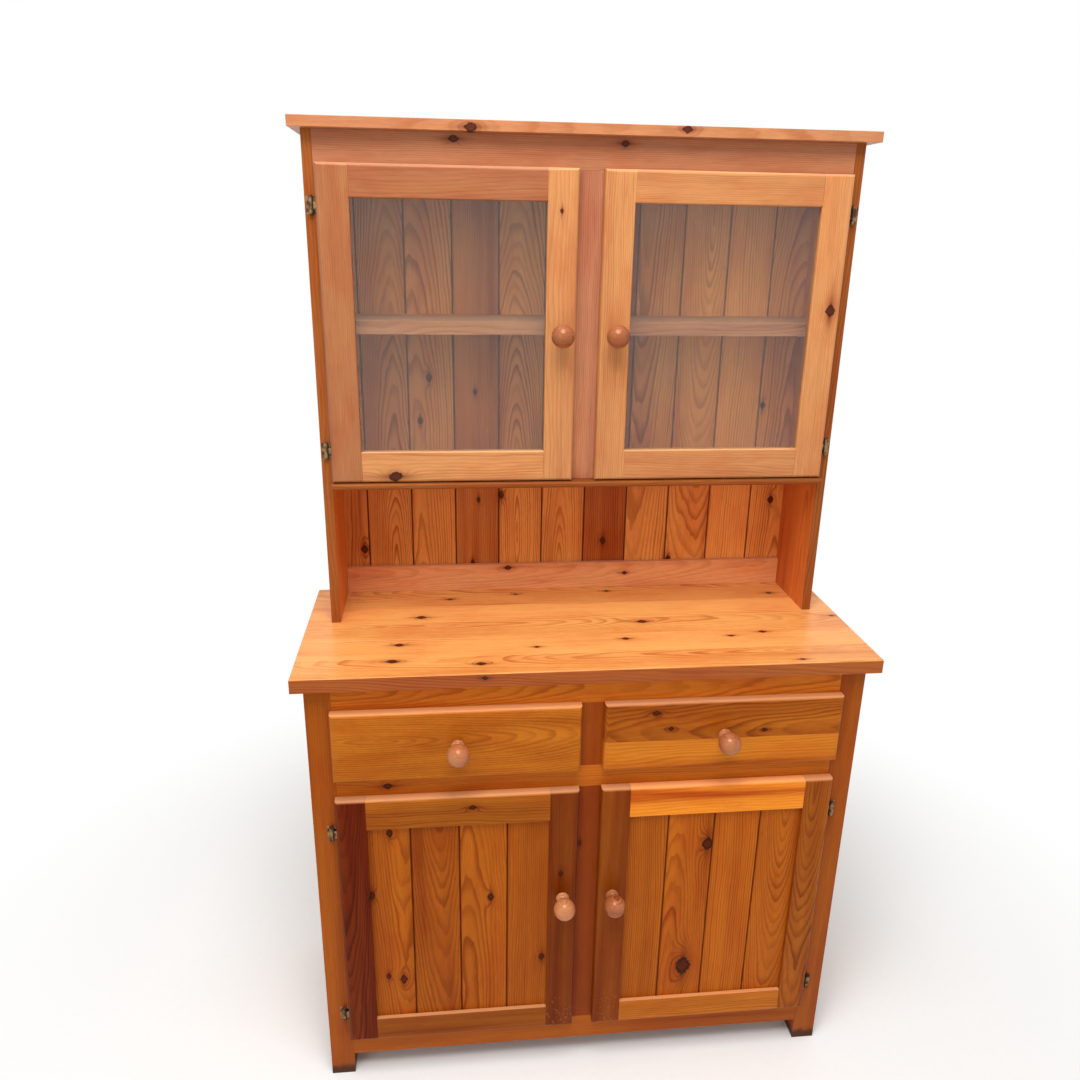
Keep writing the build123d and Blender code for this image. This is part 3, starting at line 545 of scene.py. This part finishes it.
# Matchboards close the base's sides and back and the rack's back: tongued and grooved pine about 95 mm
# wide with a V at each joint, nailed on, each from a different plank.
matchboard_pine = pine("matchboard pine, lacquered", "de924c", "963e1a", late=0.52, knots=4, grooves=True)
node_timber("base_side_boards", ["side_boards"], "dresser", "matchboard_pine", matchboard_pine,
            [(0.30, 1.0, "flat", 31), (0.20, 1.0, "cathedral", 32), (0.45, 0.95, "rift", 33),
             (0.25, 1.0, "flat", 34)], order=1,
            knots=[(-0.53, -0.05, 0.40, 0.006), (0.53, 0.10, 0.62, 0.007)])
node_timber("base_back_matchboards", ["base_back_boards"], "dresser", "matchboard_pine", matchboard_pine,
            [(0.30, 1.0, "cathedral", 41), (0.20, 1.0, "rift", 42), (0.40, 0.95, "flat", 43),
             (0.25, 1.0, "cathedral", 44), (0.35, 1.0, "rift", 45), (0.15, 1.0, "flat", 46)])
recess_back = 0.229
recess_knots = [(x, recess_back, z, radius) for x, z, radius in (
    (-0.450, 1.055, 0.007), (-0.215, 1.020, 0.004), (-0.200, 1.165, 0.004), (-0.150, 1.175, 0.006),
    (0.080, 1.065, 0.006), (0.230, 1.020, 0.005), (0.460, 1.155, 0.006), (-0.300, 1.430, 0.006),
    (-0.205, 1.400, 0.004), (-0.320, 1.340, 0.005), (0.420, 1.370, 0.005))]
# the rack's matchboards are set brighter than the base's: painted light for the recess, which the lamps
# here leave darker
node_timber("rack_matchboards", ["rack_back_boards"], "dresser", "matchboard_pine", matchboard_pine,
            [(0.30, 1.20, "flat", 51), (0.25, 1.08, "cathedral", 52), (0.22, 1.08, "flat", 53),
             (0.50, 1.02, "rift", 54), (0.15, 1.08, "cathedral", 55, 1.05),
             (0.20, 1.06, "cathedral", 56, 0.95), (0.85, 1.04, "rift", 57, 1.0), (0.20, 1.12, "flat", 58),
             (0.14, 1.16, "cathedral", 59, 0.75), (0.10, 1.22, "rift", 60), (0.15, 1.20, "flat", 61)],
            knots=recess_knots)


# The rack that stands on the worktop: two side boards, a floor with a rounded front edge, a face frame,
# one shelf on bearers, the upstand above the worktop and a cornice board laid over the top.
rack_pine = pine("rack pine, dull lacquer", "ce8a59", "98604c", knots=2, gloss=0.42, shine="ffe0c8",
                 worn=0.25)
# The faces of the rack's sides that look forward are darkened towards grey, painted shade; the rack floor,
# in the same pine, is darkened the same way at its front.
side_pine = pine("rack side pine, lacquered", "d4803c", "a04c20", knots=1, gloss=0.42,
                 shaded_front_edge=(1, 0.0590, 0.0572, "b4b0b8"))
# both side boards are set brighter, painted light for their lit inner faces
node_timber("rack_sides", ["rack_side_left", "rack_side_right"], "dresser", "rack_pine", side_pine,
            [(0.38, 1.26, "rift", 71), (0.38, 1.22, "flat", 72, 0.8)])
node_timber("rack_frame", ["rack_face_frame"], "dresser", "rack_pine", rack_pine,
            [(0.50, 0.95, "quarter", 73), (0.55, 0.94, "quarter", 74), (0.66, 1.08, "quarter", 75)],
            knots=[(-0.245, 0.057, 1.870, 0.006), (0.060, 0.057, 1.870, 0.005)])
node_timber("rack_floor_board", ["rack_floor"], "dresser", "rack_pine", side_pine,
            [(0.50, 1.04, "rift", 76)])
node_timber("rack_shelf_board", ["rack_shelf"], "dresser", "rack_pine", rack_pine,
            [(0.35, 0.90, "flat", 77)])
node_timber("rack_bearers", ["shelf_bearers"], "dresser", "rack_pine", rack_pine,
            [(0.50, 0.95, "rift", 78)])
node_timber("rack_back_rails_wood", ["rack_back_rails"], "dresser", "rack_pine", rack_pine,
            [(0.05, 1.30, "flat", 79, 0.45), (0.40, 1.0, "rift", 80)], order=2,
            knots=[(-0.135, 0.217, 1.010, 0.005), (0.130, 0.217, 0.990, 0.004),
                   (0.395, 0.217, 0.975, 0.007)])
node_timber("cornice_board", ["cornice"], "dresser", "rack_pine", rack_pine,
            [(0.35, 0.90, "flat", 81, 0.6)], through=1,
            knots=[(-0.215, 0.032, 1.887, 0.0075), (0.165, 0.032, 1.893, 0.006)])


# The doors: stiles and rails of pine, tenoned together, with rounded outer edges. The cupboard doors
# hold four matchboards in grooves, the glazed doors a pane behind beads.
# The cupboard doors, drawers and cupboard panels get darker, more saturated pine than the glazed doors and
# the other matchboards: partly their own less faded colour, partly painted shade for the lower part of the
# dresser, which gets less of the light from above.
front_pine = pine("cupboard door and drawer pine, lacquered", "cc7822", "701f02", late=0.50, worn=0.50,
                  highlight_and_wear_colour="f8b480", streaks=0.85, specular=0.14, scuffs=True)
shaded_panel_pine = pine("cupboard panel pine, lacquered", "be6618", "742402", late=0.56, knots=4,
                  specular=0.14, grooves=True)
glazed_pine = pine("glazed door pine, lacquered", "c58853", "a0603f", shine="ffe0c8", worn=0.35,
                   highlight_and_wear_colour="f4bc8c")
front_face, panel_face = -0.1856, -0.1766
cupboard_knots = [
    (-0.230, front_face, 0.670, 0.005), (-0.055, front_face, 0.505, 0.004),
    (-0.390, panel_face, 0.615, 0.006), (-0.430, panel_face, 0.470, 0.006),
    (-0.195, panel_face, 0.450, 0.006), (-0.405, panel_face, 0.265, 0.005),
    (-0.375, panel_face, 0.255, 0.007), (-0.090, panel_face, 0.290, 0.006),
    (0.245, panel_face, 0.550, 0.010), (0.215, panel_face, 0.240, 0.015)]
for side, stiles, rails, boards in (
        ("left", [(0.90, 0.80, "flat", 101, 1.3), (0.88, 0.78, "quarter", 102, 0.9)],
         [(0.55, 0.80, "quarter", 103), (0.45, 0.86, "rift", 104)],
         [(0.35, 0.95, "flat", 105, 0.9), (0.42, 0.92, "cathedral", 106, 0.85),
          (0.25, 0.95, "flat", 107, 1.0), (0.35, 0.90, "rift", 108, 0.9)]),
        ("right", [(0.80, 0.86, "quarter", 111), (0.62, 0.95, "cathedral", 112, 1.0)],
         [(0.30, 1.05, "rift", 113), (0.0, 1.36, "rift", 114, 0.5)],
         [(0.30, 0.90, "rift", 115, 0.9), (0.30, 1.06, "flat", 116), (0.22, 1.06, "rift", 117, 0.9),
          (0.28, 1.0, "cathedral", 118, 0.9)])):
    door = f"cupboard_door_{side}"
    node_timber(f"{door}_stile_pair", [f"{door}_stiles"], door, "front_pine", front_pine, stiles,
                knots=cupboard_knots)
    node_timber(f"{door}_rail_pair", [f"{door}_rails"], door, "front_pine", front_pine, rails, order=2,
                knots=cupboard_knots)
    node_timber(f"{door}_panel", [f"{door}_boards"], door, "matchboard_pine", shaded_panel_pine, boards,
                knots=cupboard_knots)
glazed_knots = [(-0.365, 0.036, 1.270, 0.009), (-0.055, 0.036, 1.755, 0.003), (0.465, 0.036, 1.585, 0.008)]
for side, stiles, rails in (
        ("left", [(0.75, 0.88, "quarter", 121), (0.18, 1.02, "rift", 122, 0.35)],
         [(0.05, 1.05, "rift", 123), (0.90, 0.92, "rift", 124, 0.4)]),
        # the right door's right-hand stile is set a little brighter: painted light for the lamps' fall-off
        # there
        ("right", [(0.20, 1.0, "quarter", 131), (0.15, 1.07, "quarter", 132)],
         [(0.20, 1.0, "rift", 133, 0.4), (0.30, 1.0, "quarter", 134)])):
    door = f"glazed_door_{side}"
    node_timber(f"{door}_stile_pair", [f"{door}_stiles"], door, "front_pine", glazed_pine, stiles,
                knots=glazed_knots)
    node_timber(f"{door}_rail_pair", [f"{door}_rails"], door, "front_pine", glazed_pine, rails, order=2,
                knots=glazed_knots)
    node_timber(f"{door}_bead_set", [f"{door}_beads"], door, "front_pine", glazed_pine,
                [(0.40, 0.95, "quarter", 125)])


# The drawers: thick lay-on fronts with rounded edges on a plain pine box with a plywood bottom. The
# left front is one flat-sawn board, the right one is two boards glued, dark above and pale below.
glue_line_height = 0.800
timber("drawer_left_face", solid_copies("drawer_left_front"), "drawer_left", "front_pine", front_pine,
       [(0.34, 0.97, "cathedral", 141, 0.75)], ["drawer_left_front"], along=0)
timber("drawer_right_face", split_at(solid_copies("drawer_right_front")[0], 2, [glue_line_height]),
       "drawer_right", "front_pine", front_pine,
       [(0.15, 1.02, "rift", 142, 0.5), (0.60, 1.02, "flat", 143, 0.9)], ["drawer_right_front"],
       along=0, order=2, radius=0.0003,
       knots=[(0.120, front_face, 0.860, 0.005), (0.150, front_face, 0.825, 0.004),
              (0.335, front_face, 0.815, 0.004)])
for side in ("left", "right"):
    body = f"drawer_{side}"
    node_timber(f"{body}_sides", [f"{body}_box"], body, "carcass_pine", carcass_pine,
                [(0.10, 1.15, "rift", 144), (0.15, 1.1, "flat", 145), (0.12, 1.12, "rift", 146)])
drawer_ply = pine("drawer plywood, bare", "d9b88c", "b98a58", knots=1, gloss=0.62, coat=0.0)
for side in ("left", "right"):
    body = f"drawer_{side}"
    node_timber(f"{body}_base", [f"{body}_bottom"], body, "drawer_ply", drawer_ply,
                [(0.2, 1.0, "flat", 151)])


# The knobs: six balls turned from pine with a short neck that is screwed and glued into the front.
# The end grain faces out, so their rings show as circles. They are pinker and worn paler than the doors.
knob_pine = pine("knob pine, turned and worn", "d28c5c", "a65a34", knots=1, gloss=0.30, coat=0.35)
ball_radius, ball_steps, turn_steps = 0.0215, 30, 64
rose_to_tip = 0.0565
# radius and distance in front of the door's face, from the hidden stem over the rose to the neck
rose_and_neck = [(0.0050, 0.0), (0.0122, 0.0), (0.0130, 0.0010), (0.0132, 0.0025), (0.0128, 0.0042),
                 (0.0116, 0.0054), (0.0098, 0.0064), (0.0082, 0.0080), (0.0078, 0.0100),
                 (0.0079, 0.0125), (0.0088, 0.0145)]
for node, body, look in (
        ("glazed_door_left_knob", "glazed_door_left", (0.80, 0.71, "quarter", 161)),
        ("glazed_door_right_knob", "glazed_door_right", (0.75, 0.74, "quarter", 162)),
        ("drawer_left_knob", "drawer_left", (0.40, 0.85, "quarter", 163)),
        ("drawer_right_knob", "drawer_right", (0.55, 0.80, "quarter", 164)),
        ("cupboard_door_left_knob", "cupboard_door_left", (0.30, 0.92, "quarter", 165)),
        ("cupboard_door_right_knob", "cupboard_door_right", (0.55, 0.86, "quarter", 166, 1.5))):
    low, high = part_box(node)
    x, z = (low.x + high.x) / 2, (low.z + high.z) / 2
    face, ball = low.y + rose_to_tip, low.y + ball_radius
    outline = [(0.0, high.y), (0.0050, high.y)] + [(r, face - out_by) for r, out_by in rose_and_neck]
    for step in range(ball_steps + 1):
        angle = math.pi * (0.17 + 0.83 * step / ball_steps)
        outline.append((ball_radius * math.sin(angle) if step < ball_steps else 0.0,
                        ball + ball_radius * math.cos(angle)))
    turned = bmesh.new()
    rows = []
    for r, y in outline:
        count = 1 if r < 1e-6 else turn_steps
        rows.append([turned.verts.new((x + r * math.cos(2 * math.pi * i / count), y,
                                       z + r * math.sin(2 * math.pi * i / count))) for i in range(count)])
    for a, b in zip(rows, rows[1:]):
        for i in range(turn_steps):
            ring = [a[i % len(a)], a[(i + 1) % len(a)], b[(i + 1) % len(b)], b[i % len(b)]]
            ring = [v for n, v in enumerate(ring) if v not in ring[:n]]
            if len(ring) > 2:
                turned.faces.new(ring)
    timber(f"{node}_turned", [turned], body, "knob_pine", knob_pine, [look], [node], along=1, through=0,
           radius=0.0)


# The hinges: small cranked brass butts, dulled with age, a leaf on the frame and one on each door,
# a loose pin with rounded ends, and countersunk slotted screws. The rack's tie plates are zinc-plated.
def metal(name, clean, dull, roughness, spots):
    """Worn metal: clean where it is touched, dull in patches, with fine scratches."""
    material, out = new_material(name)
    tree = material.node_tree
    place = add(tree, 'ShaderNodeTexCoord').outputs['Object']
    patch = add(tree, 'ShaderNodeTexNoise', {'Vector': place, 'Scale': spots, 'Detail': 4.0}).outputs['Fac']
    grain = add(tree, 'ShaderNodeTexNoise', {'Vector': place, 'Scale': 900.0, 'Detail': 2.0}).outputs['Fac']
    mask = add(tree, 'ShaderNodeMapRange', {'Value': patch, 'From Min': 0.42, 'From Max': 0.62},
               interpolation_type='SMOOTHSTEP').outputs['Result']
    colour = add(tree, 'ShaderNodeMix', {'Factor': mask, 6: srgb(clean), 7: srgb(dull)},
                 data_type='RGBA').outputs[2]
    rough = math_node(tree, 'ADD', roughness, math_node(tree, 'MULTIPLY', mask, 0.22))
    rough = math_node(tree, 'ADD', rough, math_node(tree, 'MULTIPLY', grain, 0.10))
    relief = add(tree, 'ShaderNodeBump', {'Height': grain, 'Strength': 0.3, 'Distance': 0.0001})
    surface = add(tree, 'ShaderNodeBsdfPrincipled', {
        'Base Color': colour, 'Metallic': 1.0, 'Roughness': rough, 'Normal': relief.outputs[0]})
    tree.links.new(surface.outputs[0], out.inputs['Surface'])
    return material


brass = metal("aged brass", "9a7a56", "503c30", 0.38, 90.0)
zinc_steel = metal("zinc-plated steel", "b4b6b8", "8d9093", 0.36, 60.0)


def metal_piece(name, nodes, body, material, radius):
    """Pressed or cast metal made from CAD nodes, with its edges eased."""
    joined = bmesh.new()
    for node in nodes:
        for solid in solid_copies(node):
            ease(solid, radius)
            twins = {vert: joined.verts.new(vert.co) for vert in solid.verts}
            for face in solid.faces:
                joined.faces.new([twins[v] for v in face.verts])
            solid.free()
    finish_piece(name, joined, body, material, nodes)


hinge_edge, plate_edge = 0.00025, 0.0003
metal_piece("frame_leaves", ["hinge_frame_leaves"], "dresser", brass, hinge_edge)
metal_piece("pins", ["hinge_pins"], "dresser", brass, hinge_edge)
metal_piece("tie_plates", ["rack_tie_plates"], "dresser", zinc_steel, plate_edge)
doors = ("glazed_door_left", "glazed_door_right", "cupboard_door_left", "cupboard_door_right")
for door in doors:
    metal_piece(f"{door}_leaves", [f"{door}_hinge_leaves"], door, brass, hinge_edge)


# The screws: countersunk wood screws with a single slot, brass in the hinges and zinc-plated in the tie
# plates. A node group makes one screw and sets it at each place, its slot turned by chance.
def screw_group():
    """Geometry nodes: one slotted screw on every point, facing along the point's own direction."""
    group = bpy.data.node_groups.new("slotted screws", 'GeometryNodeTree')
    face = group.interface
    face.new_socket("Points", in_out='INPUT', socket_type='NodeSocketGeometry')
    for name, value in (("Head radius", 0.0019), ("Head depth", 0.0015), ("Shank radius", 0.0011),
                        ("Shank length", 0.012), ("Slot width", 0.0006), ("Slot depth", 0.0005)):
        socket = face.new_socket(name, in_out='INPUT', socket_type='NodeSocketFloat')
        socket.default_value = value
    face.new_socket("Seed", in_out='INPUT', socket_type='NodeSocketInt').default_value = 5
    face.new_socket("Metal", in_out='INPUT', socket_type='NodeSocketMaterial')
    face.new_socket("Screws", in_out='OUTPUT', socket_type='NodeSocketGeometry')
    given = add(group, 'NodeGroupInput').outputs
    radius, depth = given["Head radius"], given["Head depth"]
    shank, length = given["Shank radius"], given["Shank length"]

    def halved(value, sign):
        return math_node(group, 'MULTIPLY', value, 0.5 * sign)

    def moved(mesh, up):
        offset = add(group, 'ShaderNodeCombineXYZ', {'Z': up}).outputs[0]
        return add(group, 'GeometryNodeTransform', {'Geometry': mesh, 'Translation': offset}).outputs[0]

    head = add(group, 'GeometryNodeMeshCylinder', {'Vertices': 24, 'Radius': radius, 'Depth': depth})
    head = moved(head.outputs['Mesh'], halved(depth, -1))
    size = add(group, 'ShaderNodeCombineXYZ', {
        'X': math_node(group, 'MULTIPLY', radius, 3.0), 'Y': given["Slot width"],
        'Z': math_node(group, 'MULTIPLY', given["Slot depth"], 2.0)}).outputs[0]
    slot = add(group, 'GeometryNodeMeshCube', {'Size': size}).outputs['Mesh']
    head = add(group, 'GeometryNodeMeshBoolean', {'Mesh 1': head, 'Mesh 2': slot}, operation='DIFFERENCE',
               solver='EXACT').outputs['Mesh']
    stem = add(group, 'GeometryNodeMeshCylinder', {'Vertices': 16, 'Radius': shank, 'Depth': length})
    stem = moved(stem.outputs['Mesh'], math_node(group, 'SUBTRACT', halved(length, -1), depth))
    screw = add(group, 'GeometryNodeJoinGeometry')
    group.links.new(head, screw.inputs[0])
    group.links.new(stem, screw.inputs[0])
    facing = add(group, 'GeometryNodeInputNamedAttribute', {'Name': "facing"}, data_type='FLOAT_VECTOR')
    turned = add(group, 'FunctionNodeAlignRotationToVector', {'Vector': facing.outputs['Attribute']},
                 axis='Z')
    chance = add(group, 'FunctionNodeRandomValue', {
        'Min': (0, 0, 0), 'Max': (0, 0, math.pi), 'Seed': given["Seed"]},
        data_type='FLOAT_VECTOR').outputs['Value']
    spin = add(group, 'FunctionNodeRotateRotation', {'Rotation': turned.outputs[0], 'Rotate By': chance},
               rotation_space='LOCAL').outputs[0]
    placed = add(group, 'GeometryNodeInstanceOnPoints', {
        'Points': given["Points"], 'Instance': screw.outputs[0], 'Rotation': spin}).outputs[0]
    real = add(group, 'GeometryNodeRealizeInstances', {'Geometry': placed}).outputs[0]
    out = add(group, 'GeometryNodeSetMaterial', {'Geometry': real, 'Material': given["Metal"]}).outputs[0]
    group.links.new(out, add(group, 'NodeGroupOutput').inputs[0])
    return group


screws = screw_group()


def screw_places(node):
    """Where each screw's head lies, which way it faces and how wide it is, read from the CAD solids."""
    places = []
    for solid in solid_copies(node):
        low, high = extent(solid)
        axis = int(np.argmax(high - low))
        middle = (low + high) / 2
        spots = np.array([v.co for v in solid.verts])
        away = np.delete(spots - middle, axis, 1)
        wide = np.hypot(away[:, 0], away[:, 1])
        head = spots[wide > wide.max() * 0.95][:, axis].mean()
        facing = np.zeros(3)
        facing[axis] = 1 if head > middle[axis] else -1
        spot = middle.copy()
        spot[axis] = high[axis] if head > middle[axis] else low[axis]
        places.append((spot, facing, wide.max()))
        solid.free()
    return places


def screw_piece(name, node, body, kinds):
    """All the screws of one CAD node as one piece. Each kind has the least and the greatest radius of its
    heads, its metal and its settings."""
    found = screw_places(node)
    joined = bmesh.new()
    metals = []
    for least, greatest, metal_used, values in kinds:
        chosen = [place for place in found if least < place[2] <= greatest]
        points = bpy.data.meshes.new("screw points")
        points.from_pydata([tuple(place[0]) for place in chosen], [], [])
        facing = points.attributes.new("facing", 'FLOAT_VECTOR', 'POINT')
        facing.data.foreach_set("vector", [c for place in chosen for c in place[1]])
        seat = bpy.data.objects.new("screw points", points)
        scene.collection.objects.link(seat)
        setting = seat.modifiers.new("screws", 'NODES')
        setting.node_group = screws
        for item in screws.interface.items_tree:
            if item.in_out == 'INPUT' and item.name in values:
                setting[item.identifier] = values[item.name]
            if item.in_out == 'INPUT' and item.name == "Metal":
                setting[item.identifier] = metal_used
        baked = bpy.data.meshes.new_from_object(seat.evaluated_get(bpy.context.evaluated_depsgraph_get()))
        seat.modifiers.clear()
        for face in baked.polygons:
            face.material_index = len(metals)
        joined.from_mesh(baked)
        metals.append(metal_used)
        bpy.data.objects.remove(seat)
        bpy.data.meshes.remove(points)
        bpy.data.meshes.remove(baked)
    mesh = bpy.data.meshes.new(name)
    joined.to_mesh(mesh)
    joined.free()
    for metal_used in metals:
        mesh.materials.append(metal_used)
    piece = bpy.data.objects.new(name, mesh)
    scene.collection.objects.link(piece)
    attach(piece, body)
    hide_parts(node)


hinge_screws = (0.0, 0.0025, brass, {})
plate_screws = (0.0025, 0.0050, zinc_steel, {
    "Head radius": 0.0038, "Head depth": 0.0012, "Shank radius": 0.0020, "Shank length": 0.010,
    "Slot width": 0.0010, "Slot depth": 0.0006, "Seed": 8})
screw_piece("carcass_screws", "frame_screws", "dresser", [hinge_screws, plate_screws])
for door in doors:
    screw_piece(f"{door}_screws", f"{door}_hinge_screws", door, [hinge_screws])


# The panes: 3 mm clear float glass, a little dusty, laid in the doors' rebates and held by the beads.
# Light that casts shadows passes straight through them to the shelf, but much dimmed: painted shade
# for the rack's inside. Only a faint film of dust shows on them.
pane_glass, out = new_material("clear pane glass, dusty")
tree = pane_glass.node_tree
clear = add(tree, 'ShaderNodeBsdfPrincipled', {
    'Base Color': srgb("f2f7f4"), 'Roughness': 0.0, 'IOR': 1.5, 'Transmission Weight': 1.0})
# shadow light is let through much dimmed, painted shade inside the rack
let_light = add(tree, 'ShaderNodeBsdfTransparent', {'Color': srgb("b8bab8")})
shadow = add(tree, 'ShaderNodeLightPath').outputs['Is Shadow Ray']
place = add(tree, 'ShaderNodeTexCoord').outputs['Object']
patches = add(tree, 'ShaderNodeTexNoise', {'Vector': place, 'Scale': 7.0, 'Detail': 4.0, 'Roughness': 0.6})
film = add(tree, 'ShaderNodeMapRange', {
    'Value': patches.outputs['Fac'], 'From Min': 0.35, 'From Max': 0.75, 'To Min': 0.0, 'To Max': 0.008})
dust = add(tree, 'ShaderNodeBsdfDiffuse', {'Color': srgb("cfd2d0")})
pane = add(tree, 'ShaderNodeMixShader', {
    0: film.outputs['Result'], 1: clear.outputs[0], 2: dust.outputs[0]})
both = add(tree, 'ShaderNodeMixShader', {0: shadow, 1: pane.outputs[0], 2: let_light.outputs[0]})
tree.links.new(both.outputs[0], out.inputs['Surface'])
for door in ("glazed_door_left", "glazed_door_right"):
    mesh = bpy.data.meshes.new(f"{door}_pane")
    sheet = solid_copies(f"{door}_glass")[0]
    ease(sheet, 0.0003)
    sheet.to_mesh(mesh)
    sheet.free()
    mesh.materials.append(pane_glass)
    piece = bpy.data.objects.new(f"{door}_pane", mesh)
    scene.collection.objects.link(piece)
    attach(piece, door)
    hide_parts(f"{door}_glass")
